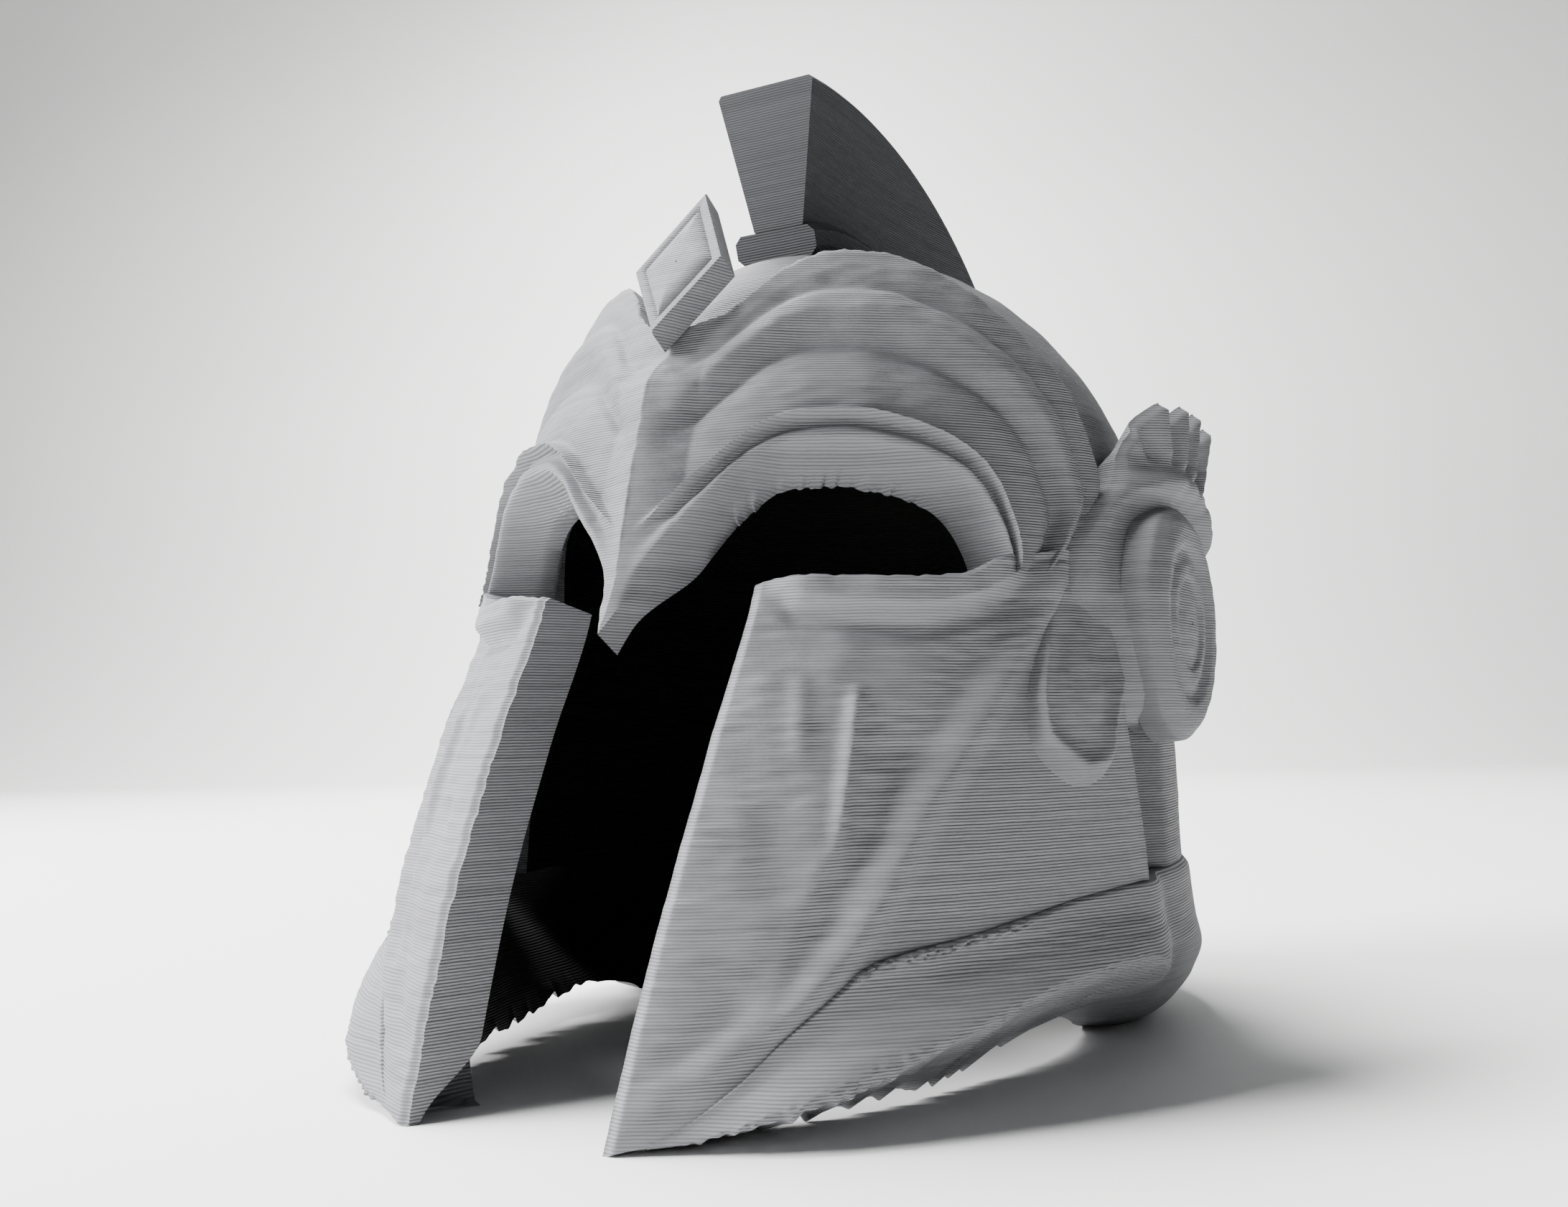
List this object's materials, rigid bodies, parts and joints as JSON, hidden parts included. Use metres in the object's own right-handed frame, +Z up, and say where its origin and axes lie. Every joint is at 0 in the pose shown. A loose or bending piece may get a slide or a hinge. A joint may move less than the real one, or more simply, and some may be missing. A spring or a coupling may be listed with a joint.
{
  "type": "trojan helmet",
  "caption": "Small printed helmet with cheek guards, an arched brow visor, ear roundels with wings and a fan crest.",
  "frame": {"origin": "middle of the helmet's box at its base, on the surface it stands on", "axes": "+Z up, -Y out of the face, +X to the right of someone who looks at the face"},
  "size_m": [0.0638, 0.088, 0.0776],
  "materials": {
    "grey_plastic": "matt printed plastic in fine level layers"
  },
  "bodies": {
    "root": {"bowl": "grey_plastic", "brow_visor": "grey_plastic", "brow_finial": "grey_plastic", "cheek_guard_left": "grey_plastic", "cheek_guard_right": "grey_plastic", "neck_guard": "grey_plastic", "ear_roundel_left": "grey_plastic", "ear_roundel_right": "grey_plastic", "wing_left": "grey_plastic", "wing_right": "grey_plastic", "crest_rail": "grey_plastic", "crest": "grey_plastic"}
  },
  "joints": []
}
